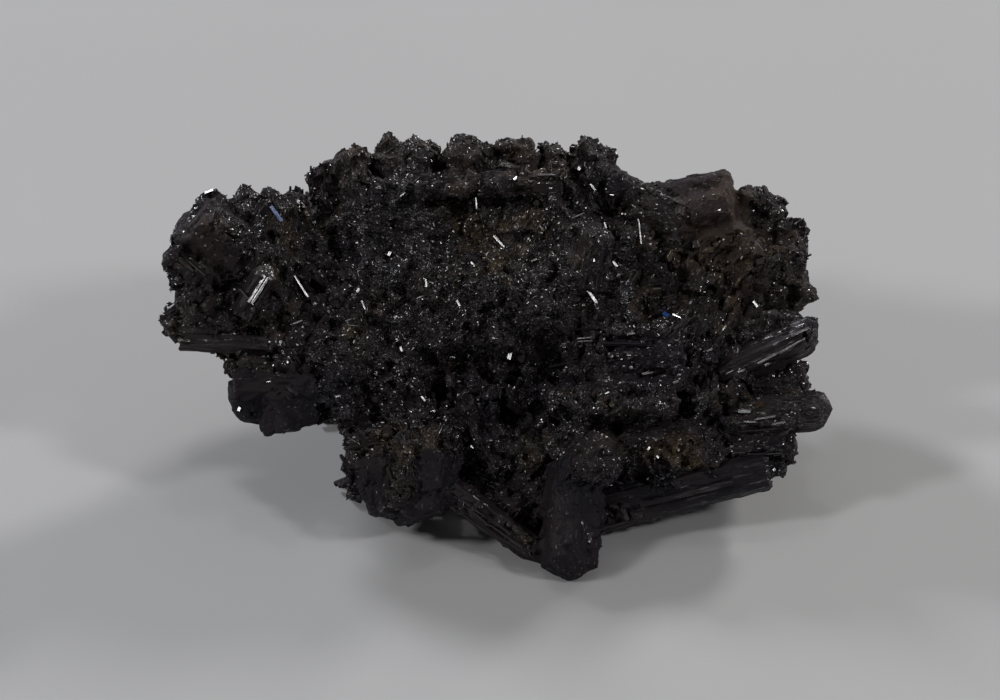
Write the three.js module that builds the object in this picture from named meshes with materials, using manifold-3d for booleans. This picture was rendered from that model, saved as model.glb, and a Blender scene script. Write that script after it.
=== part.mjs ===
// A cluster of schorl, the black tourmaline: stubby and long prisms grown together into one lump.
// Millimetres and degrees, +Z up, origin at the centre of the footprint on the surface it rests on.
import * as THREE from "three";
import { ConvexGeometry } from "three/addons/geometries/ConvexGeometry.js";
import { mergeVertices } from "three/addons/utils/BufferGeometryUtils.js";
import Module from "manifold-3d";

// Driving dimensions.
const frontLean = 52; // the crystal-covered front slopes up and back at this angle
const frontCentre = [0.3, -5.9, 19.4]; // the middle of that front
const seeds = { mates: 222, cores: 333, cover: 99991 }; // a new number grows them anew

const degrees = Math.PI / 180;
const schorlBlack = 0x17141a;

// Everything is placed in the frame of the sloping front: across it, up it, and out of it.
const front = new THREE.Matrix4().makeRotationX(frontLean * degrees).setPosition(...frontCentre);

// The body as squarish masses, with their centres and half sizes.
// Each is covered with stubby crystals, most of which follow its grain, unless it is bare.
const masses = [
  { at: [-1, 7, -11], half: [25, 9, 13], grain: [1, 0.3, 0.1] }, // the upper heart, overhanging the lower
  { at: [0, -5, -17], half: [24, 12, 11], grain: [1, -0.4, 0.2] }, // the lower heart
  { at: [-12, 14, -12], half: [11, 10.6, 11], grain: [-0.2, 1, 0.5] }, // the ridge, left half
  { at: [4, 14.4, -13], half: [11.5, 10.8, 12], grain: [0.2, 1, 0.4] }, // the ridge, right half
  { at: [17, 9.6, -12], half: [8.5, 10.4, 9], grain: [1, -0.6, 0.4] }, // the right saddle
  { at: [27, 10, -13], half: [9.5, 8.5, 10], grain: [1, 0.5, 0.6] }, // right shoulder
  { at: [25, -1.5, -9], half: [11, 9.5, 8], grain: [1, 0.2, 0.4] }, // right waist
  { at: [-23, 12, -10], half: [6, 6.5, 8], grain: [-0.3, 1, 0.5] }, // the left saddle
  { at: [-30, 10, -6], half: [8.4, 8.8, 8], grain: [-1, 0.5, 0.5] }, // left shoulder
  { at: [-22, 1.5, -6], half: [9, 8, 7], grain: [-1, 0, 0.5] }, // left waist
  { at: [-14, -3, -8], half: [7, 7, 7], grain: [0.3, -1, 0.5] }, // left of the cavity
  { at: [-11, -12, -5], half: [7.5, 6.5, 6], grain: [0.1, -1, 0.3] }, // left foot of the slope
  { at: [4, -16, -8], half: [10, 8, 7], grain: [0.3, -1, 0.3] }, // middle foot of the slope
  { at: [2.5, -19, -5], half: [6, 4.2, 6], bare: true }, // behind the strut at the middle foot
  { at: [19, -12.5, -6], half: [12, 6, 7], grain: [1, 0.25, 0.3] }, // right foot of the slope
];
const squareness = 2.6; // 2 would make each mass an ellipsoid, more makes it boxier
const coreShare = [0.78, 0.98]; // of a mass, left under its cover, from its pits to its peaks

// The stubby crystals that cover the masses.
const cover = {
  spacing: 9.5, // between neighbours
  width: [6, 10],
  length: [7, 10],
  rise: [-0.6, 2], // how far they come out of the mass
  standingShare: 0.3, // of them stand out of the mass, and the others lie in it
  brokenShare: 0.5,
  lean: 0.7, // how far they stray from their direction, as a slope
};

// The crystals that stand out, from a root inside the body to the tip.
// end: flat is a basal face, point is a low three-faced pyramid, broken is a slanted fracture.
// mates: thinner and shorter crystals grown along its sides.
const crystals = [
  // The foot of the slope.
  { root: [9.5, -9, -2], tip: [7.7, -27.4, 3.8], width: 7.6, roll: 40, end: "point", mates: 1 },
  { root: [-6, -16.5, 0.5], tip: [6, -25, 0], width: 3.6, roll: 0, end: "flat", mates: 1 },
  { root: [-7, -9.5, -1], tip: [-9.4, -21.6, 1.2], width: 6.4, roll: 20, end: "broken", mates: 1 },
  { root: [-15, -10, -1], tip: [-13.2, -20.4, 0.5], width: 4.8, roll: 0, end: "point", mates: 1 },
  { root: [11, -12, -6], tip: [11.4, -13.2, 6], width: 6.2, roll: 15, end: "flat", mates: 1 },
  // Left ledges.
  { root: [-19, -5, -3], tip: [-32, -4.4, 1], width: 4.2, roll: 30, end: "flat", mates: 1 },
  { root: [-20, -6.8, -4], tip: [-32, -6.8, 0.5], width: 4.2, roll: 0, end: "point", mates: 0 },
  { root: [-22, -7, -4], tip: [-27, -8.4, 3], width: 4.6, roll: 40, end: "flat", mates: 0 },
  { root: [-28, 0.5, -2], tip: [-38.4, 0.9, 0.5], width: 2.4, roll: 0, end: "broken", mates: 0 },
  // Left shoulder.
  { root: [-30, 10, -2], tip: [-37, 15.3, 1.5], width: 7.6, roll: 20, end: "flat", mates: 1 },
  { root: [-34, 8, 0.5], tip: [-39.4, 12, 2.4], width: 2.6, roll: 0, end: "flat", mates: 1 },
  { root: [-30.5, 4.5, 0], tip: [-27.4, 9.2, 4.6], width: 3, roll: 0, end: "flat", mates: 1 },
  { root: [-32, 4, -2], tip: [-39.6, 5, 0.5], width: 5.2, roll: 10, end: "broken", mates: 1 },
  // Top ridge.
  { root: [-16.5, 17, -7], tip: [-18.3, 24.2, -4], width: 4.4, roll: 0, end: "flat", mates: 1 },
  { root: [-13, 17, -8], tip: [-13.6, 24.6, -5], width: 4, roll: 25, end: "point", mates: 1 },
  { root: [-10, 17, -9], tip: [-10, 24.6, -6], width: 4.4, roll: 10, end: "flat", mates: 0 },
  { root: [-2.5, 16, -8], tip: [-4.2, 25.8, -4], width: 6, roll: 0, end: "point", mates: 1 },
  { root: [2, 16, -10], tip: [2.2, 25.6, -7], width: 5, roll: 15, end: "flat", mates: 0 },
  { root: [6.5, 16, -10], tip: [6.7, 24.8, -7], width: 3.4, roll: 0, end: "flat", mates: 0 },
  { root: [10.5, 16, -9], tip: [11.4, 25.4, -6], width: 4.4, roll: 0, end: "broken", mates: 1 },
  { root: [-16, 19, -3], tip: [8, 20.4, -1], width: 3, roll: 0, end: "broken", mates: 1 },
  { root: [10, 21.4, -7], tip: [22.5, 15.4, -6], width: 5, roll: 30, end: "broken", mates: 0 },
  // Right shoulder.
  { root: [15.5, 14.2, -11], tip: [28.6, 17.4, -7], width: 7.6, roll: 0, end: "flat", mates: 1 },
  { root: [28, 13, -12], tip: [31, 19.2, -9], width: 4, roll: 20, end: "flat", mates: 0 },
  { root: [29, 11, -11], tip: [35.4, 16.6, -8], width: 4.6, roll: 0, end: "broken", mates: 0 },
  { root: [29, 9, -11], tip: [36.6, 12.6, -8], width: 5, roll: 15, end: "flat", mates: 1 },
  { root: [31, 6, -10], tip: [38.2, 7.6, -9], width: 4.6, roll: 0, end: "broken", mates: 1 },
  // Right side.
  { root: [27, -2.8, -3], tip: [38, 2.4, 1], width: 4.4, roll: 25, end: "broken", mates: 1 },
  { root: [28, -7.6, -4], tip: [39.8, -7, -1], width: 5.4, roll: 0, end: "point", mates: 0 },
  { root: [26, -8.6, -2], tip: [36, -8, 0.6], width: 3.4, roll: 0, end: "flat", mates: 0 },
  { root: [24, -12, -4], tip: [35.6, -11.4, -1], width: 4.4, roll: 10, end: "flat", mates: 1 },
  { root: [30, -13, -4], tip: [34.6, -14.6, -1], width: 3.8, roll: 0, end: "flat", mates: 0 },
  { root: [11, -19.6, -2], tip: [32.4, -14.2, -2], width: 5.2, roll: 20, end: "flat", mates: 1 },
  // The middle of the slope.
  { root: [6, -6.2, -1], tip: [22, -6, 1.6], width: 5, roll: 30, end: "broken", mates: 1 },
  { root: [11, -0.4, -2], tip: [23, -0.6, 1], width: 6, roll: 20, end: "broken", mates: 1 },
  { root: [10.5, 5, -3], tip: [11.8, 15.4, 1.4], width: 5, roll: 0, end: "point", mates: 1 },
];
const mate = {
  width: [0.45, 0.75], // of the crystal's width
  apart: [0.35, 0.6], // from its axis, in its widths
  shorter: [0.06, 0.3], // than it, as a share of its length
  splay: 0.06, // sideways lean away from it
  turn: 15, // of its section from that of the crystal
};

// Park and Miller's generator, so that every build grows the same cluster.
// The mates, the cores and the cover each have a run of their own.
function randomRun(seed) {
  let state = seed;
  return (low = 0, high = 1) => {
    state = (state * 16807) % 2147483647;
    return low + ((high - low) * state) / 2147483647;
  };
}

function randomDirection(random) {
  return new THREE.Vector3(random(-1, 1), random(-1, 1), random(-1, 1));
}

// The six corners of tourmaline's section, three broad sides and three narrow ones.
const broadHalfAngle = 41;
const sectionAngles = [0, 120, 240].flatMap((a) => [a - broadHalfAngle, a + broadHalfAngle]);

// How far the tip is pushed along the axis at a place in the section, by the kind of end.
const pyramidRise = 0.25; // of the width
const fractureSlope = 0.55;
const basalSlope = 0.06;

function crystalGeometry({ root, tip, width, roll, end }) {
  const start = new THREE.Vector3(...root);
  const axis = new THREE.Vector3(...tip).sub(start);
  const length = axis.length();
  const turn = new THREE.Quaternion().setFromUnitVectors(new THREE.Vector3(0, 0, 1), axis.normalize());
  const radius = width / 2;
  const slope = end === "broken" ? fractureSlope : basalSlope;
  const rise = end === "point" ? pyramidRise * width : 0;
  const points = [];
  for (const angle of sectionAngles) {
    const a = (angle + roll) * degrees;
    const x = radius * Math.cos(a);
    const y = radius * Math.sin(a);
    points.push(new THREE.Vector3(x, y, 0));
    points.push(new THREE.Vector3(x, y, length - rise - slope * (x + radius)));
  }
  if (end === "point") points.push(new THREE.Vector3(0.1 * radius, 0, length));
  for (const p of points) p.applyQuaternion(turn).add(start);
  return new ConvexGeometry(points);
}

// A crystal with its mates, side by side and nearly parallel.
const mateRandom = randomRun(seeds.mates);
function bundle({ mates, ...crystal }) {
  const root = new THREE.Vector3(...crystal.root);
  const tip = new THREE.Vector3(...crystal.tip);
  const axis = tip.clone().sub(root);
  const grown = [crystal];
  for (let i = 0; i < mates; i += 1) {
    const side = axis.clone().cross(randomDirection(mateRandom)).normalize();
    const apart = crystal.width * mateRandom(...mate.apart);
    const length = axis.length();
    grown.push({
      root: root.clone().addScaledVector(side, apart).toArray(),
      tip: tip
        .clone()
        .addScaledVector(side, apart + mate.splay * length)
        .addScaledVector(axis, -mateRandom(...mate.shorter))
        .toArray(),
      width: crystal.width * mateRandom(...mate.width),
      roll: crystal.roll + mateRandom(-mate.turn, mate.turn),
      end: "flat",
    });
  }
  return grown;
}

// Points spread evenly over a mass, by the golden angle.
const goldenAngle = Math.PI * (3 - Math.sqrt(5));
function spreadDirection(i, count) {
  const z = 1 - (2 * i + 1) / count;
  const ring = Math.sqrt(1 - z * z);
  return new THREE.Vector3(ring * Math.cos(i * goldenAngle), ring * Math.sin(i * goldenAngle), z);
}

function boxiness(x, y, z) {
  return Math.abs(x) ** squareness + Math.abs(y) ** squareness + Math.abs(z) ** squareness;
}

function onMass(direction, { at, half }, share = 1) {
  const reach = share / boxiness(...direction.toArray()) ** (1 / squareness);
  return new THREE.Vector3(...direction.toArray().map((d, k) => at[k] + d * reach * half[k]));
}

function insideMass(p, { at, half }) {
  return boxiness(...p.toArray().map((x, k) => (x - at[k]) / half[k])) < 1;
}

function massNormal(direction, { half }) {
  const power = squareness - 1;
  const slopes = direction.toArray().map((d, k) => (Math.sign(d) * Math.abs(d) ** power) / half[k]);
  return new THREE.Vector3(...slopes).normalize();
}

// A mass under its cover: a rough lump, whose corners lie at random depths.
const facetSize = 7;
const coreRandom = randomRun(seeds.cores);
function coreGeometry(mass) {
  const meanHalf = (mass.half[0] + mass.half[1] + mass.half[2]) / 3;
  const core = new THREE.IcosahedronGeometry(1, Math.round(meanHalf / facetSize));
  core.deleteAttribute("normal");
  core.deleteAttribute("uv");
  const lump = mergeVertices(core);
  const corners = lump.attributes.position;
  const direction = new THREE.Vector3();
  for (let i = 0; i < corners.count; i += 1) {
    direction.fromBufferAttribute(corners, i);
    corners.setXYZ(i, ...onMass(direction, mass, coreRandom(...coreShare)).toArray());
  }
  return lump;
}

// The stubby crystals of one mass, wherever they come out of every other mass.
const coverRandom = randomRun(seeds.cover);
function coverOf(mass) {
  const [a, b, c] = mass.half;
  const area = (4 * Math.PI * (a * b + b * c + c * a)) / 3;
  const count = Math.round(area / cover.spacing ** 2);
  const made = [];
  for (let i = 0; i < count; i += 1) {
    const direction = spreadDirection(i, count);
    const normal = massNormal(direction, mass);
    const width = coverRandom(...cover.width);
    const length = coverRandom(...cover.length);
    const rise = coverRandom(...cover.rise);
    const stands = coverRandom() < cover.standingShare;
    const axis = stands ? normal.clone() : new THREE.Vector3(...mass.grain).normalize();
    axis.addScaledVector(randomDirection(coverRandom), cover.lean).normalize();
    const roll = coverRandom(0, 120);
    const end = coverRandom() < cover.brokenShare ? "broken" : "flat";
    const surface = onMass(direction, mass);
    if (masses.some((m) => m !== mass && insideMass(surface, m))) continue;
    // The crystal's own reach along the normal, from its middle.
    const along = Math.abs(axis.dot(normal));
    const reach = (along * length + Math.sqrt(1 - along * along) * width) / 2;
    const middle = surface.addScaledVector(normal, rise - reach);
    made.push({
      root: middle.clone().addScaledVector(axis, -length / 2).toArray(),
      tip: middle.clone().addScaledVector(axis, length / 2).toArray(),
      width,
      roll,
      end,
    });
  }
  return made;
}

const wasm = await Module();
wasm.setup();

function solidOf(geometry) {
  const bare = geometry.clone();
  bare.deleteAttribute("normal");
  bare.deleteAttribute("uv");
  const merged = mergeVertices(bare);
  return new wasm.Manifold(
    new wasm.Mesh({
      numProp: 3,
      vertProperties: new Float32Array(merged.attributes.position.array),
      triVerts: new Uint32Array(merged.index.array),
    }),
  );
}

function geometryOf(solid) {
  const mesh = solid.getMesh();
  const geometry = new THREE.BufferGeometry();
  geometry.setAttribute("position", new THREE.BufferAttribute(mesh.vertProperties, 3));
  geometry.setIndex(new THREE.BufferAttribute(mesh.triVerts, 1));
  return geometry;
}

// The table that the cluster rests on, as a block that is cut away.
const tableSize = 240;
function tableBlock() {
  return new THREE.BoxGeometry(tableSize, tableSize, tableSize).translate(0, 0, -tableSize / 2);
}

// Of a solid's separate surfaces, the one that holds the most, so that no pocket is sealed inside.
function outerSurface(solid) {
  return solid.decompose().reduce((best, other) => (other.volume() > best.volume() ? other : best));
}

const finestStep = 0.2; // steps in the joined surface that are smaller than this are left out
function growCluster() {
  const covered = masses.filter((mass) => !mass.bare);
  const prisms = [...crystals.flatMap(bundle), ...covered.flatMap(coverOf)];
  const pieces = [...masses.map(coreGeometry), ...prisms.map(crystalGeometry)];
  const grown = wasm.Manifold.union(pieces.map((piece) => solidOf(piece.applyMatrix4(front))));
  return geometryOf(outerSurface(grown.subtract(solidOf(tableBlock())).simplify(finestStep)));
}

const schorl = new THREE.Mesh(
  growCluster(),
  new THREE.MeshStandardMaterial({ color: schorlBlack, roughness: 0.3, metalness: 0, flatShading: true }),
);
schorl.name = "schorl_cluster";

const part = new THREE.Group();
part.add(schorl);
export default part;
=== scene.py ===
import math
from random import Random

import bpy
import numpy as np
from mathutils import Matrix, Vector, noise
from mathutils.bvhtree import BVHTree
from mathutils.kdtree import KDTree


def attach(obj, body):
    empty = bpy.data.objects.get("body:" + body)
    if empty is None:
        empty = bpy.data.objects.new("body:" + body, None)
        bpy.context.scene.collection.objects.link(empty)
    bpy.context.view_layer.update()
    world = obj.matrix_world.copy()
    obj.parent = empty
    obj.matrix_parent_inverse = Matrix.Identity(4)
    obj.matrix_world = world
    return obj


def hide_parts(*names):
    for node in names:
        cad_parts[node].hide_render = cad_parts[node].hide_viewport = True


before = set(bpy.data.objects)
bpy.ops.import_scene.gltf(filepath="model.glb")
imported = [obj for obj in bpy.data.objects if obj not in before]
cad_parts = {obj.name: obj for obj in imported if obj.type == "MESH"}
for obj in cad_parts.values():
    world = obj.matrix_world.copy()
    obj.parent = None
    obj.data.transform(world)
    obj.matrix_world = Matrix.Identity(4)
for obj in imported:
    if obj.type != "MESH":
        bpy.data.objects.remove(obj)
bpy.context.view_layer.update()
print("frame loaded")

mm = 0.001
bodyNode = "schorl_cluster"

# The sloping front: x across it, y up it, z out of it towards the viewer.
frontSlope = {"lean": 52, "centre": (0.3, -5.9, 19.4)}
front = Matrix.Translation(Vector(frontSlope["centre"]) * mm) @ Matrix.Rotation(
    math.radians(frontSlope["lean"]), 4, "X"
)

viewer = {"distance": 330.6, "lens": 100, "sensor": 36}  # straight out from the front's centre

# Directions are given by azimuth, 0 behind the cluster and 90 on its right, and by height above the table.
# Fresh crystals flash with the small lights, and the top one is there for those that lie flat. The ceiling
# only fills in.
lights = {
    "leftBackLight": {"azimuth": -47, "height": 30, "size": 220, "watts": 7.6, "colour": "#F6F8FF"},
    "rightBackLight": {"azimuth": 40, "height": 30, "size": 220, "watts": 7.4, "colour": "#FFFCF8"},
    "leftSideLight": {"azimuth": -106, "height": 36, "size": 200, "watts": 5.2, "colour": "#FFFFFF"},
    "rightSideLight": {"azimuth": 110, "height": 36, "size": 200, "watts": 5.0, "colour": "#FFFFFF"},
    "topLight": {"azimuth": 0, "height": 70, "size": 120, "watts": 0.7, "colour": "#FFFFFF"},
    "ceilingLight": {"azimuth": 0, "height": 72, "size": 1400, "watts": 1.7, "colour": "#FFFFFF"},
}
lightDistance = 1400
roomGlow = 0.04


def addToScene(thing):
    bpy.context.scene.collection.objects.link(thing)


def unit(vectors):
    return vectors / np.maximum(np.linalg.norm(vectors, axis=-1, keepdims=True), 1e-12)


def acrossOf(axes):
    # two directions square to each axis and to each other
    helper = np.where(np.abs(axes[..., 2:]) < 0.9, [0.0, 0.0, 1.0], [1.0, 0.0, 0.0])
    side = unit(np.cross(axes, helper))
    return side, np.cross(axes, side)


def skyDirection(light):
    azimuth, height = math.radians(light["azimuth"]), math.radians(light["height"])
    level = math.cos(height)
    return Vector((level * math.sin(azimuth), level * math.cos(azimuth), math.sin(height)))


def onFront(places):
    # across, up and out of the front, in mm
    return (places / mm - np.array(frontSlope["centre"])) @ np.array(front.to_3x3())


def inOval(local, middle, half):
    # 1 in the middle of an oval on the front, falling off to 0 round it
    far = ((local[:, 0] - middle[0]) / half[0]) ** 2 + ((local[:, 1] - middle[1]) / half[1]) ** 2
    return np.exp(-(far**2))


# Materials


def linear(hexColour):
    channels = [int(hexColour[i : i + 2], 16) / 255 for i in (1, 3, 5)]
    return [
        share / 12.92 if share <= 0.04045 else ((share + 0.055) / 1.055) ** 2.4 for share in channels
    ] + [1.0]


def addNode(tree, kind, inputs, **settings):
    # inputs are values, or the output sockets to link
    made = tree.nodes.new("ShaderNode" + kind)
    for key, value in settings.items():
        setattr(made, key, value)
    for key, value in inputs.items():
        if isinstance(value, bpy.types.NodeSocket):
            tree.links.new(value, made.inputs[key])
        else:
            made.inputs[key].default_value = value
    return made


def newMaterial(name):
    material = bpy.data.materials.new(name)
    material.use_nodes = True
    tree = material.node_tree
    tree.nodes.clear()
    return material, tree


# Schorl is near-black, opaque and glassy. Weathering left most of it matt, and fresh breaks are glassy
# flecks that flash white. Fine growth lines run along its prisms. Iron and dust turn it brown or blue-black
# in patches.
tourmalineIor = 1.64
schorl = {
    # blue-black, brown-black, rusty
    "colours": {0: "#13131B", 0.3: "#211B21", 0.6: "#2B2325", 0.8: "#332928", 1: "#41362E"},
    # the golden end is partly rust and partly a painted golden highlight: it colours the glassy flecks so
    # that their glints look gold
    "fleckColours": {0: "#231D20", 0.6: "#231D20", 1: "#5A4A34"},  # golden where the crust is rusty
    "patch": 8,  # mm across a tint patch
    "patchContrast": (0.3, 0.7),  # the narrower, the harder the edges of the patches
    "pieceTone": 0.4,  # of the tint comes from the crystal, the rest from the patch
    "lineGap": 0.22,  # mm between growth lines, drawn twice as coarse as they are
    "lineDepth": 0.03,
    "lineStretch": 0.05,  # they run on for 20 times their gap
    "fleck": 0.17,  # mm across a glassy fleck
    "crustTilt": 0.25,  # of what the flecks tilt
}


def schorlMaterial(name, look, colours=schorl["colours"], fleckColours=schorl["fleckColours"]):
    material, tree = newMaterial(name)
    place = addNode(tree, "TexCoord", {}).outputs["Object"]
    own = addNode(tree, "Attribute", {}, attribute_name="own").outputs["Vector"]
    tone = addNode(tree, "Attribute", {}, attribute_name="tone").outputs["Fac"]
    gloss = addNode(tree, "Attribute", {}, attribute_name="gloss").outputs["Fac"]

    cloud = {"Vector": place, "Scale": 1 / (schorl["patch"] * mm), "Detail": 3.0}
    patches = addNode(tree, "TexNoise", cloud).outputs["Fac"]
    soft, hard = schorl["patchContrast"]
    spread = addNode(tree, "MapRange", {"Value": patches, "From Min": soft, "From Max": hard})
    shares = {"Factor": schorl["pieceTone"], "A": spread.outputs["Result"], "B": tone}
    tint = addNode(tree, "Mix", shares, data_type="FLOAT").outputs["Result"]

    # growth lines: noise drawn out along the crystal's own axis
    longer = {0: own, 1: (1.0, 1.0, schorl["lineStretch"])}
    stretched = addNode(tree, "VectorMath", longer, operation="MULTIPLY").outputs["Vector"]
    lined = {"Vector": stretched, "Scale": 1 / (schorl["lineGap"] * mm), "Detail": 3.0, "Roughness": 0.6}
    lines = addNode(tree, "TexNoise", lined).outputs["Fac"]

    # flecks: tiny faces, each tilted its own way, and as many of them glassy as gloss says
    longer = {0: own, 1: (1.0, 1.0, 1 / look["drawn"])}
    drawnOut = addNode(tree, "VectorMath", longer, operation="MULTIPLY").outputs["Vector"]
    flecks = addNode(tree, "TexVoronoi", {"Vector": drawnOut, "Scale": 1 / (schorl["fleck"] * mm)})
    luck = addNode(tree, "TexWhiteNoise", {"Vector": flecks.outputs["Position"]})
    polishes = {"Value": luck.outputs["Color"], "To Min": look["mirror"], "To Max": look["satin"]}
    polish = addNode(tree, "MapRange", polishes).outputs["Result"]
    lucky = {0: luck.outputs["Value"], 1: gloss}
    isGlassy = addNode(tree, "Math", lucky, operation="LESS_THAN").outputs["Value"]
    middle = {0: flecks.outputs["Color"], 1: (0.5, 0.5, 0.5)}
    centred = addNode(tree, "VectorMath", middle, operation="SUBTRACT").outputs["Vector"]
    leans = {"Factor": isGlassy, "A": schorl["crustTilt"] * look["tilt"], "B": look["tilt"]}
    lean = addNode(tree, "Mix", leans, data_type="FLOAT").outputs["Result"]
    tilts = addNode(tree, "VectorMath", {0: centred, "Scale": lean}, operation="SCALE").outputs["Vector"]
    normal = addNode(tree, "NewGeometry", {}).outputs["Normal"]
    tilted = addNode(tree, "VectorMath", {0: normal, 1: tilts}, operation="ADD").outputs["Vector"]
    faceNormal = addNode(tree, "VectorMath", {0: tilted}, operation="NORMALIZE").outputs["Vector"]
    depth = schorl["lineDepth"] * mm
    relief = {"Height": lines, "Distance": depth, "Strength": 1.0, "Normal": faceNormal}
    bumped = addNode(tree, "Bump", relief).outputs["Normal"]

    surfaces = []
    for palette, roughness, shine in (
        (colours, look["dull"], look["dullShine"]),
        (fleckColours, polish, look["shine"]),
    ):
        ramp = addNode(tree, "ValToRGB", {"Fac": tint})
        stops = ramp.color_ramp.elements
        stops[1].position = 1
        for position, colour in palette.items():
            stop = stops[0] if position == 0 else stops[-1] if position == 1 else stops.new(position)
            stop.color = linear(colour)
        finish = {
            "Base Color": ramp.outputs["Color"],
            "Roughness": roughness,
            "IOR": tourmalineIor,
            "Specular IOR Level": shine,
            "Normal": bumped,
        }
        surfaces.append(addNode(tree, "BsdfPrincipled", finish).outputs["BSDF"])
    mixed = addNode(tree, "MixShader", {0: isGlassy, 1: surfaces[0], 2: surfaces[1]})
    addNode(tree, "OutputMaterial", {"Surface": mixed.outputs["Shader"]})
    return material


# How each is: the roughness of its dull crust and of its glassy flecks, how strongly both shine, how far
# the flecks tilt, and how many times longer than wide they are.
# dark crust with scattered glints
massStone = schorlMaterial(
    "schorl, rough broken mass",
    {"dull": 0.65, "dullShine": 0.15, "mirror": 0.14, "satin": 0.44, "shine": 0.75, "tilt": 1.3, "drawn": 2},
)
# soft grey streaks of light down each prism
prismStone = schorlMaterial(
    "schorl, lined prism faces",
    {"dull": 0.6, "dullShine": 0.2, "mirror": 0.16, "satin": 0.4, "shine": 0.45, "tilt": 0.4, "drawn": 10},
)
# most of the sparkle
druseStone = schorlMaterial(
    "schorl, glassy small crystals",
    {"dull": 0.6, "dullShine": 0.2, "mirror": 0.13, "satin": 0.44, "shine": 0.9, "tilt": 0.8, "drawn": 3},
)
# clean white flashes
freshStone = schorlMaterial(
    "schorl, fresh mirror faces",
    {"dull": 0.4, "dullShine": 0.4, "mirror": 0.15, "satin": 0.3, "shine": 0.5, "tilt": 0.03, "drawn": 4},
)
# painted reflection: a few crystals coloured bright blue, standing in for a blue sheen of light on them
paintedBlueReflection = schorlMaterial(
    "schorl, painted blue reflection",
    {"dull": 0.4, "dullShine": 0.4, "mirror": 0.2, "satin": 0.4, "shine": 0.3, "tilt": 0.1, "drawn": 4},
    {0: "#24447C", 1: "#355C9C"},
    {0: "#24447C", 1: "#355C9C"},
)
print("materials made")


# Pieces


def addPiece(name, points, faces, material, own, tone, gloss):
    mesh = bpy.data.meshes.new(name)
    mesh.from_pydata(points, [], faces)
    mesh.update(calc_edges=True)
    layer = mesh.attributes.new("own", "FLOAT_VECTOR", "POINT")
    layer.data.foreach_set("vector", np.asarray(own, np.float32).ravel())
    for layerName, values in (("tone", tone), ("gloss", gloss)):
        layer = mesh.attributes.new(layerName, "FLOAT", "POINT")
        layer.data.foreach_set("value", np.asarray(values, np.float32))
    mesh.materials.append(material)
    piece = bpy.data.objects.new(name, mesh)
    addToScene(piece)
    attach(piece, "root")
    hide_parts(bodyNode)
    print(f"{name}: {sum(len(face) - 2 for face in faces)} triangles")
    return piece


def meshArrays(mesh):
    mesh.calc_loop_triangles()
    points = np.zeros(len(mesh.vertices) * 3)
    mesh.vertices.foreach_get("co", points)
    triangles = np.zeros(len(mesh.loop_triangles) * 3, int)
    mesh.loop_triangles.foreach_get("vertices", triangles)
    return points.reshape(-1, 3), triangles.reshape(-1, 3)


triesPerPlace = 6


def spreadOver(points, triangles, gap, rng):
    # places about a gap apart, and the surface's direction at each
    corners = points[triangles]
    crossed = np.cross(corners[:, 1] - corners[:, 0], corners[:, 2] - corners[:, 0])
    areas = np.linalg.norm(crossed, axis=1) / 2
    tries = int(triesPerPlace * areas.sum() / gap**2)
    chosen = rng.choice(len(triangles), tries, p=areas / areas.sum())
    along, aside = rng.random((2, tries, 1))
    flip = along + aside > 1
    along, aside = np.where(flip, 1 - along, along), np.where(flip, 1 - aside, aside)
    first = corners[chosen, 0]
    places = first + along * (corners[chosen, 1] - first) + aside * (corners[chosen, 2] - first)
    cells = np.floor(places / gap).astype(int)
    kept = np.unique(cells, axis=0, return_index=True)[1]
    return places[kept], unit(crossed[chosen[kept]])


# How fine and glassy the druse is, from 0 to 1, by place on the front: middle, half sizes, fineness.
zones = [
    ((-3, 10), (19, 13), 1.0),  # the druse of the upper heart
    ((2, -5), (22, 9), 0.85),  # the middle
    ((20, -13), (7, 5), 0.9),  # the sparkling lumps, low on the right
    ((-13, -8), (9, 8), 0.5),
    ((-30, 10), (12, 11), 0.3),  # left shoulder
    ((30, -5), (12, 8), 0.55),
    ((28, 13), (13, 10), 0.12),  # right shoulder
    ((0, -22), (30, 8), 0.15),  # foot
]
elsewhere = {"fineness": (0, 0.8), "weight": 0.3}  # of the patches that no zone covers
zoneDepth = {"behind": 30, "fade": 12}  # mm behind the front where the zones end


def finenessAt(places, wild):
    local = onFront(places)
    weight = np.full(len(places), elsewhere["weight"])
    total = weight * wild
    inDepth = np.clip((local[:, 2] + zoneDepth["behind"]) / zoneDepth["fade"], 0, 1)
    for middle, half, fine in zones:
        share = inOval(local, middle, half) * inDepth
        total = total + share * fine
        weight = weight + share
    return total / weight


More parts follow.
